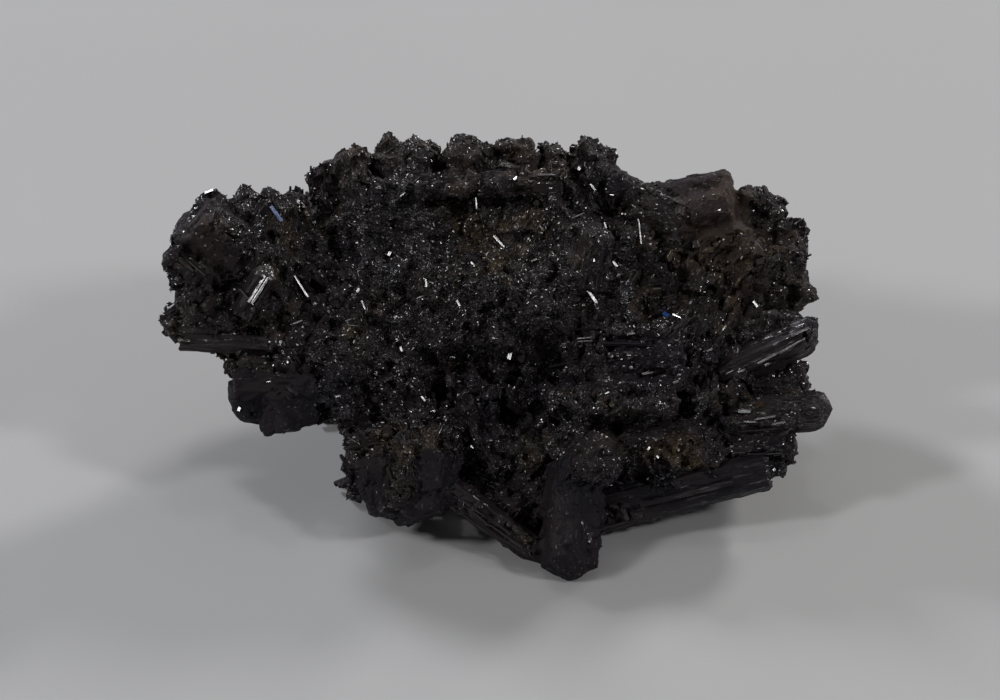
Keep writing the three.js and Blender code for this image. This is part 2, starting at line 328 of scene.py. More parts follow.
# The prisms that stand out, from a root in the mass to the tip, in the front's frame, as the solid has them:
# root, tip, width, turn of the section (in degrees, or a face to the front), end and habit.
standing = [
    ((9.5, -9, -2), (7.7, -27.4, 3.8), 7.6, 40, "point", "dark"),  # foot of the slope
    ((-6, -16.5, 0.5), (6, -25, 0), 3.6, 0, "flat", "lined"),
    ((-7, -9.5, -1), (-9.4, -21.6, 1.2), 6.4, 20, "broken", "dark"),
    ((-15, -10, -1), (-13.2, -20.4, 0.5), 4.8, 0, "point", "dark"),
    ((11, -12, -6), (11.4, -13.2, 6), 6.2, 15, "flat", "knob"),
    ((-19, -5, -3), (-32, -4.4, 1), 4.2, "front", "flat", "dark"),  # left ledges
    ((-20, -6.8, -4), (-32, -6.8, 0.5), 4.2, 0, "point", "dark"),
    ((-22, -7, -4), (-27, -8.4, 3), 4.6, 40, "flat", "dark"),
    ((-28, 0.5, -2), (-38.4, 0.9, 0.5), 2.4, 0, "broken", "lined"),
    ((-30, 10, -2), (-37, 15.3, 1.5), 7.6, 20, "flat", "smooth"),  # left shoulder
    ((-34, 8, 0.5), (-39.4, 12, 2.4), 2.6, 0, "flat", "face"),
    ((-30.5, 4.5, 0), (-27.4, 9.2, 4.6), 3, 0, "flat", "lined"),
    ((-32, 4, -2), (-39.6, 5, 0.5), 5.2, 10, "broken", "knob"),
    ((-16.5, 17, -7), (-18.3, 24.2, -4), 4.4, 0, "flat", "knob"),  # top ridge
    ((-13, 17, -8), (-13.6, 24.6, -5), 4, 25, "point", "knob"),
    ((-10, 17, -9), (-10, 24.6, -6), 4.4, 10, "flat", "knob"),
    ((-2.5, 16, -8), (-4.2, 25.8, -4), 6, 0, "point", "knob"),
    ((2, 16, -10), (2.2, 25.6, -7), 5, 15, "flat", "knob"),
    ((6.5, 16, -10), (6.7, 24.8, -7), 3.4, 0, "flat", "knob"),
    ((10.5, 16, -9), (11.4, 25.4, -6), 4.4, 0, "broken", "knob"),
    ((-16, 19, -3), (8, 20.4, -1), 3, "front", "broken", "knob"),
    ((10, 21.4, -7), (22.5, 15.4, -6), 5, "front", "broken", "face"),
    ((15.5, 14.2, -11), (28.6, 17.4, -7), 7.6, 0, "flat", "smooth"),  # right shoulder
    ((28, 13, -12), (31, 19.2, -9), 4, 20, "flat", "knob"),
    ((29, 11, -11), (35.4, 16.6, -8), 4.6, 0, "broken", "knob"),
    ((29, 9, -11), (36.6, 12.6, -8), 5, 15, "flat", "knob"),
    ((31, 6, -10), (38.2, 7.6, -9), 4.6, 0, "broken", "knob"),
    ((27, -2.8, -3), (38, 2.4, 1), 4.4, 25, "broken", "lined"),  # right side
    ((28, -7.6, -4), (39.8, -7, -1), 5.4, 0, "point", "lined"),
    ((26, -8.6, -2), (36, -8, 0.6), 3.4, 0, "flat", "face"),
    ((24, -12, -4), (35.6, -11.4, -1), 4.4, 10, "flat", "face"),
    ((30, -13, -4), (34.6, -14.6, -1), 3.8, 0, "flat", "knob"),
    ((11, -19.6, -2), (32.4, -14.2, -2), 5.2, "front", "flat", "lined"),
    ((6, -6.2, -1), (22, -6, 1.6), 5, "front", "broken", "face"),  # middle of the slope
    ((11, -0.4, -2), (23, -0.6, 1), 6, "front", "broken", "face"),
    ((10.5, 5, -3), (11.8, 15.4, 1.4), 5, "front", "point", "face"),
]
# Small ones that the solid leaves out, grown into the mass: pointed lumps where nothing else is said.
grownIn = [
    ((-26, -1.2, -4), (-32.9, -1.6, -1.5), 4.4, 0),
    ((-33.4, 17.2, -1), (-38, 12.2, 0.5), 3.4, 15),
    ((-34, 8, -2), (-39.8, 8.4, -0.5), 3, 0),
    ((-33, 4, -2), (-40.6, 3, -0.8), 4.4, 0),
    ((30, 13, -11), (34.4, 18.8, -9), 4, 0),
    ((31, 11, -11), (37.2, 13.6, -9), 4, 20),
    ((32, 7.6, -10), (37.9, 8.6, -9), 3.6, 0),
    ((28, 1, -5), (36.6, 3.4, -3), 4.6, 0),
    ((30, -2.6, -5), (37.6, -2.4, -3), 3.4, 0),
    ((23, -3, -4), (24.6, 0.6, 0), 4, 0),
    ((22.6, -7, -4), (25.4, -5, 0.4), 4.4, 30),
    ((25, -9.4, -4), (23.6, -10, 0.4), 3.6, 0),
    ((-18, -8, -4), (-18.8, -6, 0), 4.4, 0),
    ((-17, -4, -4), (-20, -1.6, 0.4), 4, 20),
    ((-24, 14, -5), (-25.2, 19.6, -4), 3.8, 0),
    ((-21, 15, -8), (-21.2, 22.8, -7), 4, 0),
    ((-33.4, 14, -4), (-34.6, 19.4, -2.6), 4, 0),
    ((-30, 14, -5), (-30.8, 19.9, -4), 4.2, 20),
    ((-27, 14, -5), (-28, 19.6, -4), 3.6, 0),
    ((-13.2, 19, -9), (-13.9, 26, -7), 4, 0),
    ((-9.6, 19, -9.4), (-9.8, 26, -7.4), 4.4, 20),
    ((-5.6, 19, -9.4), (-6.4, 24.6, -7.4), 4, 0),
    ((10.6, 19, -10), (11.2, 26.2, -8), 4.4, 0),
    ((12, 19, -10), (13.2, 25.2, -8.4), 3.6, 0),
    ((10.5, 22.4, -10), (19.5, 16.4, -8.5), 5.4, 0, "broken", "cover"),
    ((16, 17.4, -11.6), (28.6, 20.1, -9.4), 5.8, 0, "flat", "cover"),
    ((29.8, 14, -12), (32, 20.2, -10.6), 4.4, 0),
    ((32, 11, -12), (37.2, 15.6, -10.6), 4.4, 0),
    ((18.6, -12, -4), (19.4, -15.6, 0.6), 4.2, 20),
    ((-3.6, 19, -8.5), (-4.2, 26.8, -6.5), 4.6, 0),
    ((-1.2, 19, -8.5), (-1.2, 25, -6.5), 3.6, 0),
    ((6.6, 19, -9.6), (6.8, 25.3, -7.6), 3.8, 0),
    ((36.2, 10.8, -9.6), (38, 5.6, -8.8), 2.4, 0, "flat", "cover"),
    ((-6.6, -3, -5.8), (-0.8, -13.4, -3.8), 2.4, 0, "broken", "face"),
    ((-4.2, -3.4, -6.4), (1.6, -11.4, -4), 2, 0, "broken", "face"),
    ((-7, -1, -8), (-6.6, -1.6, -3.8), 4.4, 0),
    ((-3.4, -1, -8.4), (-3, -2, -4.2), 4.6, 20),
    ((0.4, -1, -8), (0.6, -1.4, -3.6), 4.4, 0),
    ((4, -1.6, -8.4), (4.2, -2.2, -4.2), 4.6, 40),
    ((7.6, -1.6, -8), (7.4, -1.8, -3.4), 4.4, 0),
    ((-1.6, -5, -9), (-1.2, -5.6, -5.6), 4.4, 10),
    ((2.6, -5.6, -9), (2.8, -5.6, -5), 4.6, 0),
    ((6.4, -5.4, -8), (6, -5.6, -4.6), 4.2, 30),
    ((5, -9, -9), (4.6, -9.4, -5), 4.4, 0),
    ((13.8, 13.6, -10), (13.9, 16.8, -5.4), 4.4, 0),
    ((10, -1, -6), (9, 2.2, -1.6), 4.6, 20),
    ((9, -3.4, -2.2), (23.6, -3.4, 0.9), 3.8, 0, "broken", "face"),
    ((12, -9.4, -3.2), (24, -9.4, -0.2), 4, 0, "broken", "face"),
    ((30, -4.6, -5), (35.6, -4.4, -1.6), 4, 10, "broken", "face"),
    ((24, -5.2, -5), (29.6, -4.6, -0.6), 4, 0),
    ((9, -4, -4), (9.6, -2.4, -0.8), 4.2, 0),
    ((14, -8.6, -11), (14, -9.4, -2.6), 3.6, 0),
]
allPrisms = standing + [entry if len(entry) > 4 else (*entry, "point", "lump") for entry in grownIn]

bigPrisms = {
    "broadHalfAngle": 41,  # of the section's three broad sides, in degrees
    "flute": 0.3,  # mm across a groove
    "groove": 0.12,  # mm deep
    "grooveWear": (0.6, 1.4),  # of that depth
    "ringGap": 0.7,  # mm between rings of mesh along a prism
    "terraces": 5,  # sectors that stop short of the tip
    "terraceDepth": 0.04,  # of the width
    "terraceWear": (0.4, 1.4),  # of that depth
    "terraceSpan": (0.05, 0.2),  # of the way round
    "terraceStart": (0.3, 0.95),  # of the way up
    "pyramidRise": 0.25,  # of the width, as the next four
    "bevel": 0.1,
    "crown": 0.12,
    "peak": 0.02,
    "uneven": 0.015,
    "evenEnd": 0.3,  # of that on ends that aren't broken
    "crownShare": 0.45,  # of the width left at the crown
    "fractureSlope": 0.55,
    "basalSlope": 0.06,
    "outerPart": 0.25,  # the share of its length from which a place lies on a prism and not in the mass
    "near": 0.35,  # mm off its side where a place still counts as on it
    "proud": 0.1,  # mm thicker than the solid's, so that the mass stays behind their faces
    "chips": {"facet": 2.4, "tilt": 0.04, "step": 0.06, "reach": 0.2},
    "wear": (0.08, 0.032),  # mm that their faces wander in and out, in wide and in small hollows
    "wearSize": (2.2, 0.66),  # mm across such a hollow
    "wearSeed": 23,
}
# What each habit of prism is like: how far back its mass lies in mm and how chipped it is, its ribs, its
# share of glassy flecks, its tone from blue-black to brown (a tone below 0 is painted shade), how much grows
# on it, whether its tip stays bare, and the share of its width left at the end's rim. Lined prisms are drawn
# apart from the mass, with their growth lines.
habits = {
    "lined": dict(setBack=0.9, chips=0.3, ribs=4, gloss=0.42, tone=0.3, grown=0.45, bareTip=1, rim=0.88),
    "face": dict(setBack=0.2, chips=0.45, ribs=2, gloss=0.4, tone=0.4, grown=0.7, bareTip=0, rim=0.88),
    "smooth": dict(setBack=0.05, chips=0.3, ribs=0, gloss=0.08, tone=0.75, grown=0.12, bareTip=1, rim=0.8),
    # painted shade: the foot and the low, front-facing prisms and ledges get a darker colour that stands in
    # for the shade they lie in
    "dark": dict(setBack=0.05, chips=0.35, ribs=0, gloss=0.04, tone=-0.3, grown=0.2, bareTip=1, rim=0.8),
    "knob": dict(setBack=0, chips=0.7, ribs=0, gloss=0.3, tone=0.6, grown=0.8, bareTip=0, rim=0.7),
    "cover": dict(setBack=0, chips=0.35, ribs=0, gloss=0.08, tone=0.75, grown=0.2, bareTip=1, rim=0.7),
    "lump": dict(setBack=0, chips=0.9, ribs=0, gloss=0.4, tone=0.5, grown=1.5, bareTip=0, rim=0.66),
}


def prismEnds(which):
    return np.array([front @ (Vector(entry[which]) * mm) for entry in allPrisms])


prismRoots, prismTips = prismEnds(0), prismEnds(1)
prismWidths = np.array([entry[2] for entry in allPrisms]) * mm
prismHabits = [habits[entry[5]] for entry in allPrisms]
prismAxes = unit(prismTips - prismRoots)
sectionAngles = np.radians(
    [middle + side * bigPrisms["broadHalfAngle"] for middle in (0, 120, 240) for side in (-1, 1)]
)


def ofHabit(key, which, otherwise):
    # a habit's value for each of the prisms picked, or for none of them where which is -1
    values = np.array([habit[key] for habit in prismHabits] + [otherwise])
    return values[which]


def prismAt(places):
    # which big prism a place lies on, by its outer part, or -1
    found = np.full(len(places), -1)
    for i, (start, finish, width) in enumerate(zip(prismRoots, prismTips, prismWidths)):
        axis = finish - start
        share = (places - start) @ axis / (axis @ axis)
        gap = np.linalg.norm(places - start - np.clip(share, 0, 1)[:, None] * axis, axis=1)
        found[(share > bigPrisms["outerPart"]) & (gap < width / 2 + bigPrisms["near"] * mm)] = i
    return found


# Where the stone leans to rust (above 0) or to blue-black (below), by place on the front: middle, half
# sizes, lean.
tints = [
    ((21, -13), (5, 3.5), 0.9),  # the rusty lumps
    ((2, 12), (11, 6), 0.35),  # the upper heart
    ((27, 12), (10, 8), 0.45),  # right shoulder
    ((22, -17), (12, 3), -0.8),  # long prism low on the right
    ((-26, -4), (5, 1.6), 0.4),  # upper left ledge
    ((4, 22), (5, 3), 0.4),
    ((0, 2), (18, 12), -0.2),
    ((-26, 6), (9, 9), 0.2),  # left shoulder
    ((-17, -4), (9, 6), -0.25),
    ((33, -14), (4, 3), -0.8),
    ((19, -15.5), (2.5, 1.8), -1.6),
    ((-13, 12), (5, 4), -0.3),
]


def tintAt(places):
    local = onFront(places)
    tint = np.zeros(len(places))
    for middle, half, lean in tints:
        tint += lean * inOval(local, middle, half)
    return tint


# The mass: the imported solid, remeshed finely, set back under its crystals and broken into small facets.
mass = {
    "step": 0.45,  # mm between mesh points
    "setBack": 0.45,
    "chips": {"facet": 1.9, "tilt": 0.45, "step": 0.4, "reach": 0.8},  # mm, tilt as a slope
    "knobCorner": 2.6,  # 2 rounds a knob's end fully, and more leaves it squarer
    "overhang": 0.8,  # of the chips' reach may stand out
    "chipTone": 0.3,  # of a prism's tone comes from its chips
    "gloss": (0.1, 0.9),  # share of glassy flecks, and how much it grows with the fineness
}


def sectionOutline(turned, radius, rng):
    # points round a prism's section, and how deep the groove lies at each
    angles = sectionAngles + turned
    corners = radius * np.stack([np.cos(angles), np.sin(angles)], axis=1)
    outline, depth = [], []
    for here, there in zip(corners, np.roll(corners, -1, axis=0)):
        count = max(2, round(np.linalg.norm(there - here) / (bigPrisms["flute"] * mm)))
        outline += [here + (there - here) * step / count for step in range(count)]
        depth += [0] + list(rng.uniform(0, 1, count - 1) ** 2 * bigPrisms["groove"] * mm)
    return np.array(outline), np.array(depth)


def groovedPrism(root, tip, width, roll, end, rim, rng):
    axis = tip - root
    length = np.linalg.norm(axis)
    axis = axis / length
    side, up = acrossOf(axis)
    radius = width / 2
    outwards = np.array(front.col[2][:3])
    turned = math.atan2(outwards @ up, outwards @ side) if roll == "front" else math.radians(roll)
    outline, grooves = sectionOutline(turned, radius, rng)
    count = len(outline)
    rings = max(5, round(length / (bigPrisms["ringGap"] * mm)))
    along = np.linspace(0, 1, rings)
    girths = 1 - grooves[None, :] / radius * rng.uniform(*bigPrisms["grooveWear"], (rings, count))
    for _ in range(bigPrisms["terraces"]):
        first, span = rng.integers(count), int(count * rng.uniform(*bigPrisms["terraceSpan"]))
        sector = (first + np.arange(span)) % count
        start = rng.uniform(*bigPrisms["terraceStart"])
        depth = bigPrisms["terraceDepth"] * rng.uniform(*bigPrisms["terraceWear"])
        girths[np.ix_(along > start, sector)] -= depth

    slope = bigPrisms["fractureSlope"] if end == "broken" else bigPrisms["basalSlope"]
    rise = bigPrisms["pyramidRise"] * width if end == "point" else 0
    bevel, crown = bigPrisms["bevel"] * width, bigPrisms["crown"] * width
    roughness = rng.normal(0, bigPrisms["uneven"] * width, count)
    if end != "broken":
        roughness *= bigPrisms["evenEnd"]
    top = length - bevel - rise - slope * (outline[:, 0] + radius)
    levels = [(share * top, girth) for share, girth in zip(along, girths)]
    for share, lip in ((rim, bevel), (bigPrisms["crownShare"], crown)):
        lifted = lip + (1 - share) * rise
        height = length - bevel - rise - slope * (outline[:, 0] * share + radius) + lifted + roughness
        levels.append((height, girths[-1] * share))
    peak = length if end == "point" else length - slope * radius + bigPrisms["peak"] * width
    local = [np.column_stack([outline * girth[:, None], height]) for height, girth in levels]
    own = np.concatenate(local + [[[0, 0, peak]]])
    points = root + own @ np.array([side, up, axis])

    faces = [list(range(count))[::-1]]
    for below in range(0, (len(levels) - 1) * count, count):
        for here in range(count):
            after = (here + 1) % count
            faces.append([below + here, below + after, below + count + after, below + count + here])
    last = (len(levels) - 1) * count
    faces += [[last + here, last + (here + 1) % count, last + count] for here in range(count)]
    return points, faces, own


def remeshedBody():
    # the solid and the small ones grown into it, as one skin
    rng = np.random.default_rng(29)
    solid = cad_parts[bodyNode].data
    corners = [list(vertex.co) for vertex in solid.vertices]
    faces = [list(face.vertices) for face in solid.polygons]
    for i in range(len(standing), len(allPrisms)):
        roll, end = allPrisms[i][3:5]
        rim = prismHabits[i]["rim"]
        root, tip, width = prismRoots[i], prismTips[i], prismWidths[i]
        points, shapeFaces, _ = groovedPrism(root, tip, width, roll, end, rim, rng)
        faces += [[corner + len(corners) for corner in face] for face in shapeFaces]
        corners += points.tolist()
    joined = bpy.data.meshes.new("remeshing")
    joined.from_pydata(corners, [], faces)
    source = bpy.data.objects.new("remeshing", joined)
    addToScene(source)
    weld = source.modifiers.new("weld", "WELD")
    weld.merge_threshold = 0.001 * mm
    remesh = source.modifiers.new("remesh", "REMESH")
    remesh.mode = "VOXEL"
    remesh.voxel_size = mass["step"] * mm
    depsgraph = bpy.context.evaluated_depsgraph_get()
    mesh = bpy.data.meshes.new_from_object(source.evaluated_get(depsgraph))
    bpy.data.objects.remove(source)
    bpy.data.meshes.remove(joined)
    return mesh


def vertexNormals(mesh):
    normals = np.zeros(len(mesh.vertices) * 3)
    mesh.vertices.foreach_get("normal", normals)
    return normals.reshape(-1, 3)


def nearestOf(seeds, places):
    tree = KDTree(len(seeds))
    for i, seed in enumerate(seeds):
        tree.insert(seed, i)
    tree.balance()
    return np.array([tree.find(place)[1] for place in places])


def chipped(points, triangles, normals, chips, rng):
    # the shift of each point on to small flat faces, each tilted its own way, and which face it is on
    seeds, _ = spreadOver(points, triangles, chips["facet"] * mm, rng)
    tilts = rng.normal(0, chips["tilt"], seeds.shape)
    levels = rng.uniform(-1, 1, len(seeds)) * chips["step"] * mm
    face = nearestOf(seeds, points)
    lift = levels[face] + np.sum(tilts[face] * (points - seeds[face]), axis=1)
    reach = chips["reach"] * mm
    return normals * np.clip(lift, -reach, mass["overhang"] * reach)[:, None], face


def domedEnds(points, which):
    # the ends of the knobs, worn round: what lies outside a dome is drawn in on to it
    domed = points.copy()
    power = mass["knobCorner"]
    for i, (tip, axis, width, habit) in enumerate(zip(prismTips, prismAxes, prismWidths, prismHabits)):
        if habit not in (habits["knob"], habits["lump"]) or not (which == i).any():
            continue
        radius = 0.5 * width
        start = tip - radius * axis
        away = points[which == i] - start
        up = away @ axis / radius
        out = np.linalg.norm(away - np.outer(away @ axis, axis), axis=1) / radius
        size = (np.maximum(up, 0) ** power + out**power) ** (1 / power)
        domed[which == i] = start + away * np.where(up > 0, 1 / np.maximum(size, 1), 1)[:, None]
    return domed


massRandom = np.random.default_rng(11)
remeshed = remeshedBody()
massPoints, massTriangles = meshArrays(remeshed)
massNormals = vertexNormals(remeshed)
massFaces = [list(face.vertices) for face in remeshed.polygons]

chipShift, chipOf = chipped(massPoints, massTriangles, massNormals, mass["chips"], massRandom)
massPrism = prismAt(massPoints)
massPoints = domedEnds(massPoints, massPrism)
chipShift *= ofHabit("chips", massPrism, 1)[:, None]
massBack = ofHabit("setBack", massPrism, mass["setBack"])
massPoints = massPoints + chipShift - massNormals * massBack[:, None] * mm
massPoints[:, 2] = np.maximum(massPoints[:, 2], 0)

# Patches where the crystals grew one way, each with its own habit.
patches = {
    "size": 8.5,  # mm across
    "steep": (0.1, 0.9),  # how far their crystals lean out of the stone
    "density": (0.3, 1),
    "scale": (-0.35, 0.35),  # of their crystals, as a power of e
    "stray": (0.1, 0.75),  # how far crystals stray from the patch's axis
    "blur": 0.9,  # mm that the edges of the patches wander
}
patchSeeds, patchNormals = spreadOver(massPoints, massTriangles, patches["size"] * mm, massRandom)
patchCount = len(patchSeeds)
patchSteep = massRandom.uniform(*patches["steep"], (patchCount, 1))
patchAxes = unit(patchNormals * patchSteep + unit(massRandom.normal(size=(patchCount, 3))))
patchAxes *= np.where(np.sum(patchAxes * patchNormals, axis=1, keepdims=True) < 0, -1, 1)
patchDensity = massRandom.uniform(*patches["density"], patchCount)
patchScale = np.exp(massRandom.uniform(*patches["scale"], patchCount))
patchStray = massRandom.uniform(*patches["stray"], patchCount)


def patchAt(places, rng):
    return nearestOf(patchSeeds, places + rng.normal(0, patches["blur"] * mm, places.shape))


onPatch = massPrism < 0
massAxes = np.where(onPatch[:, None], patchAxes[nearestOf(patchSeeds, massPoints)], prismAxes[massPrism])
massOwn = np.stack([np.sum(massPoints * way, axis=1) for way in (*acrossOf(massAxes), massAxes)], axis=1)
massTone = massRandom.random(chipOf.max() + 1)[chipOf]
habitTone = (1 - mass["chipTone"]) * ofHabit("tone", massPrism, 0)
massTone = np.where(onPatch, massTone, mass["chipTone"] * massTone + habitTone)
patchFine = massRandom.uniform(*elsewhere["fineness"], patchCount)
massFine = finenessAt(massPoints, patchFine[patchAt(massPoints, massRandom)])
massTone += tintAt(massPoints)
leastGloss, moreGloss = mass["gloss"]
massGloss = np.where(onPatch, leastGloss + moreGloss * massFine, ofHabit("gloss", massPrism, 0))
addPiece("schorl_mass", massPoints, massFaces, massStone, massOwn, massTone, massGloss)
massTree = BVHTree.FromPolygons([Vector(point) for point in massPoints], massFaces)


def wander(points, size, amount):
    # a smooth wandering offset, the same at the same place
    return np.array([noise.noise_vector(Vector(point) / (size * mm)) for point in points]) * amount * mm


slantedPart = 0.7  # a small crystal's end is cut at a slant from this share of its length


def bulkPrisms(roots, axes, widths, lengths, angles, stations, slopes):
    # many small prisms at once: angles are their corners', stations are (share of length, share of width)
    side, up = acrossOf(axes)
    count, corners = len(roots), angles.shape[1]
    radii = widths[:, None] / 2
    x, y = np.cos(angles) * radii, np.sin(angles) * radii
    levels = []
    for share, girth in stations:
        slant = slopes[:, None] * (x + radii) if share > slantedPart else 0 * x
        z = lengths[:, None] * share - slant
        levels.append(np.stack([x * girth, y * girth, z], axis=-1))
    own = np.stack(levels, axis=1)
    frames = np.stack([side, up, axes], axis=1)
    points = roots[:, None, None, :] + np.einsum("kljc,kcd->kljd", own, frames)
    ring = np.arange(corners)
    after = (ring + 1) % corners
    sides = np.concatenate(
        [
            np.stack([low + ring, low + after, low + corners + after, low + corners + ring], 1)
            for low in range(0, (len(stations) - 1) * corners, corners)
        ]
    )
    caps = np.stack([ring[::-1], ring + (len(stations) - 1) * corners])
    return points, own, sides, caps


tableGap = 0.02  # mm, and crystals that come nearer to the table are left out


def joinBulk(name, made, material, tones, gloss, rng):
    points, own, sides, caps = made
    above = points[..., 2].min(axis=(1, 2)) > tableGap * mm
    points, own, tones, gloss = points[above], own[above], tones[above], gloss[above]
    own = own + rng.uniform(0, 1, (len(own), 1, 1, 3))
    size = points.shape[1] * points.shape[2]
    offsets = np.arange(len(points))[:, None, None] * size
    faces = (sides[None] + offsets).reshape(-1, 4).tolist()
    faces += (caps[None] + offsets).reshape(-1, caps.shape[1]).tolist()
    tones, gloss = np.repeat(tones, size), np.repeat(gloss, size)
    addPiece(name, points.reshape(-1, 3), faces, material, own.reshape(-1, 3), tones, gloss)


toneSpread = 0.15
prismRandom = np.random.default_rng(23)
prismPoints, prismFaces, prismOwn, prismTone, prismGloss = [], [], [], [], []
prismCount = 0
for i, (_, _, _, roll, end, habitName) in enumerate(standing):
    habit = habits[habitName]
    if habitName != "lined":
        continue
    width = prismWidths[i] + bigPrisms["proud"] * mm
    root, tip, rim = prismRoots[i], prismTips[i], habit["rim"]
    points, faces, own = groovedPrism(root, tip, width, roll, end, rim, prismRandom)
    shape = bpy.data.meshes.new("shape")
    shape.from_pydata(points, [], faces)
    _, triangles = meshArrays(shape)
    shift, _ = chipped(points, triangles, vertexNormals(shape), bigPrisms["chips"], prismRandom)
    bpy.data.meshes.remove(shape)
    prismFaces += [[corner + prismCount for corner in face] for face in faces]
    prismCount += len(points)
    prismPoints.append(points + shift)
    prismGloss.append(np.full(len(points), habit["gloss"]))
    prismOwn.append(own + prismRandom.random(3))
    prismTone.append(habit["tone"] + prismRandom.normal(0, toneSpread) + tintAt(points))
prismPoints = np.concatenate(prismPoints)
noise.seed_set(bigPrisms["wearSeed"])
for wearSize, wear in zip(bigPrisms["wearSize"], bigPrisms["wear"]):
    prismPoints += wander(prismPoints, wearSize, wear)
prismPoints[:, 2] = np.maximum(prismPoints[:, 2], 0)
prismOwn, prismTone = np.concatenate(prismOwn), np.concatenate(prismTone)
prismGloss = np.concatenate(prismGloss)
addPiece("big_prisms", prismPoints, prismFaces, prismStone, prismOwn, prismTone, prismGloss)
prismTree = BVHTree.FromPolygons([Vector(point) for point in prismPoints], prismFaces)


cornerStray = {"hexagon": 0.08, "even": 0.15}  # radians


def hexagon(count, rng):
    turn = rng.uniform(0, 2 * np.pi, (count, 1))
    return sectionAngles[None] + turn + rng.normal(0, cornerStray["hexagon"], (count, 6))


def evenSection(count, corners, rng):
    section = np.arange(corners) * 2 * np.pi / corners
    turn = rng.uniform(0, 2 * np.pi, (count, 1))
    return section[None] + turn + rng.normal(0, cornerStray["even"], (count, corners))


ribs = {
    "begin": (0.1, 0.6),  # of the prism's length
    "reach": (0.2, 0.95),  # of what is left of it
    "end": 0.97,
    "out": (0.3, 0.46),  # of the prism's width, from its axis
    "width": (-2.8, -1.8),  # of the prism's width, as a power of e
    "stray": 0.02,
}


def ribsAlongPrisms(rng):
    counts = [habit["ribs"] for habit in prismHabits]
    start, finish = np.repeat(prismRoots, counts, axis=0), np.repeat(prismTips, counts, axis=0)
    width = np.repeat(prismWidths, counts)
    axes = unit(finish - start)
    side, up = acrossOf(axes)
    turn = rng.uniform(0, 2 * np.pi, len(axes))[:, None]
    out = side * np.cos(turn) + up * np.sin(turn)
    length = np.linalg.norm(finish - start, axis=1)
    begin = rng.uniform(*ribs["begin"], len(axes))
    reach = rng.uniform(*ribs["reach"], len(axes)) * (ribs["end"] - begin)
    offAxis = out * (width * rng.uniform(*ribs["out"], len(axes)))[:, None]
    roots = start + axes * (begin * length)[:, None] + offAxis
    widths = width * np.exp(rng.uniform(*ribs["width"], len(axes)))
    return roots, unit(axes + rng.normal(0, ribs["stray"], axes.shape)), widths, reach * length


# Fresh crystals that flash: both ends of each, its width, and how far it is turned off. Each lies on the
# stone behind it and leans so that one face throws a light straight out.
# Across and down the view from straight ahead, in pixels of 1000 x 700:
seenGlints = [
    (513, 341, 508, 360, 4, 1), (548, 368, 569, 363.5, 3, 1.5), (484, 418, 495, 413, 2.4, 1.5),
    (492, 236, 505, 249, 1.6, 3), (487, 239, 499, 249, 1.3, 3), (586.5, 290, 595.5, 304, 3, 1.5),
    (713, 297, 723, 289, 3.4, 1.5), (671, 314.5, 681, 319, 2.2, 1.5), (687, 316.5, 693.5, 310.5, 2.4, 1.5),
    (682, 243, 684, 239, 3.4, 1.5), (738, 412.5, 750.5, 412.5, 4, 1), (443, 200, 468, 217, 1.3, 4.5),
    (473.6, 187, 475.5, 209, 1.3, 4.5), (636, 210, 640, 244, 1.2, 4.5), (239, 289, 249, 299, 2, 1.5),
    (292, 274, 306.5, 297, 1.4, 3), (170, 245, 205, 275, 2.4, 4.5), (247.5, 302, 264.5, 276, 2.5, 6),
    (251, 304, 268, 277.5, 2.9, 9), (252, 305, 270, 278, 2, 3), (177, 340.5, 190, 341.5, 3, 1.5),
    (204, 194, 213, 190, 3, 3), (206, 249, 212, 244, 2.6, 3), (578, 170, 580, 167, 3.4, 1.5),
    (513.5, 180, 517, 178, 3.2, 1.5), (537, 175, 557, 174, 2, 3), (589, 184, 594, 190, 2.2, 3),
    (388, 256, 390, 252, 3, 1.5), (517, 302, 518.5, 308, 2, 1.5), (416, 299, 440, 289.5, 1.3, 3),
    (416, 312, 431, 304, 1.3, 3), (377, 321, 385, 316.5, 3, 1.5), (568, 220, 583, 213, 1.2, 4.5),
    (545, 214, 550, 211, 2, 3), (603.5, 222, 604.5, 229, 1.6, 3), (356, 292, 359, 289, 2, 3),
    (348, 274, 352, 279, 1.5, 3), (576, 339, 592, 337.6, 1.2, 4.5), (633, 331, 637, 328.5, 2.4, 3),
    (440, 341, 444, 339, 2.2, 3), (752, 301.5, 756, 307.5, 2, 1.5), (626, 334.5, 634, 333, 2, 3),
    (736.5, 372.5, 744, 370.5, 2.4, 1.5), (641, 374.5, 666, 370.5, 2, 4.5), (657, 424.5, 669, 423, 3.4, 3),
    (672, 384, 678, 381, 2, 3), (773, 471, 774.5, 468.5, 2.4, 1.5), (598.5, 535, 604.5, 530.5, 2.4, 1.5),
    (576, 341.5, 600, 340.5, 1, 4.5), (318, 349, 324, 347, 2.4, 1.5), (305, 345, 309, 342.5, 2.2, 1.5),
    (399, 347, 401, 352, 1.7, 1.5), (332, 369, 335, 366.5, 2, 1.5), (394, 416, 396.5, 413.5, 2.4, 3),
    (289.5, 325, 301.5, 321, 1.3, 4.5), (289, 243, 293, 241, 2, 1.5), (331, 249, 339.5, 257.5, 1.5, 3),
    (348, 308, 352, 306.5, 2, 1.5), (423.8, 277, 425, 287, 1.5, 3), (237.5, 411.5, 239.5, 407, 3, 3),
    (279, 341, 281, 352, 1.3, 4.5), (372, 292, 383, 300, 1.2, 4.5), (395, 304, 408, 296, 1.2, 3),
    (360, 300, 364, 310, 1.3, 3), (455, 300, 459, 306, 1.6, 3), (530, 262, 536, 259, 1.8, 3),
    (470, 262, 474, 267, 1.6, 3), (612, 262, 616, 267, 2, 3), (700, 262, 704, 258, 2, 3),
    (730, 330, 735, 326, 2, 3), (706, 352, 712, 349, 1.8, 3), (640, 446, 645, 443, 1.8, 3),
    (668, 452, 671, 449, 2, 3), (684, 461, 688, 459, 2, 3), (452, 372, 457, 369, 1.6, 4.5),
    (420, 396, 424, 401, 1.6, 4.5), (470, 446, 473, 452, 1.6, 4.5),
]
